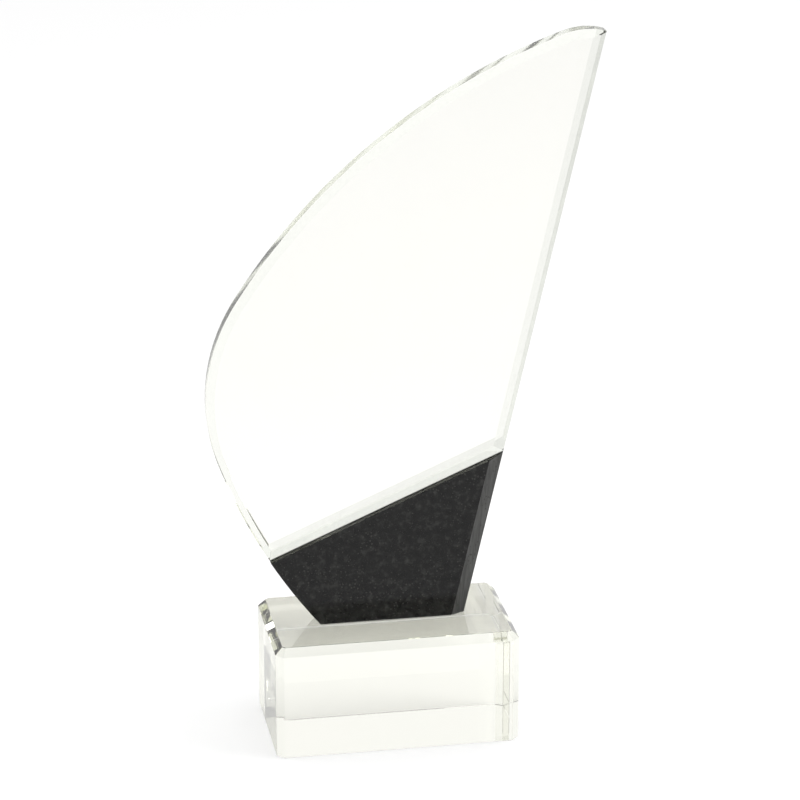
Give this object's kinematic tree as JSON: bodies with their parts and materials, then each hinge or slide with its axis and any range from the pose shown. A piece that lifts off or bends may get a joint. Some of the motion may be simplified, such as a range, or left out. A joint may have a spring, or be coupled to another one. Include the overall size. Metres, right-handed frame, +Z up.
{
  "type": "crystal award",
  "caption": "Clear crystal sail with ground bevels, bonded by a slanted seam to a black granite wedge that stands on a clear chamfered crystal block.",
  "frame": {"origin": "centre of the crystal block's flat underside", "axes": "+Z up, away from the surface it stands on; -Y out of the front faces of the block and the sail; +X to the right, where the sail's nose leans"},
  "size_m": [0.1275, 0.0454, 0.2323],
  "materials": {
    "crystal_block": "clear optical crystal, polished, with 45 degree ground chamfers",
    "foot_adhesive": "clear cured adhesive film",
    "black_granite": "black granite, polished, with fine pale grains",
    "seam_adhesive": "clear cured adhesive film",
    "crystal_sail": "clear optical crystal, polished, with ground bevels"
  },
  "bodies": {
    "root": {"base_block": "crystal_block", "foot_bond": "foot_adhesive", "stone_body": "black_granite", "seam_bond": "seam_adhesive", "sail_plate": "crystal_sail"}
  },
  "joints": []
}
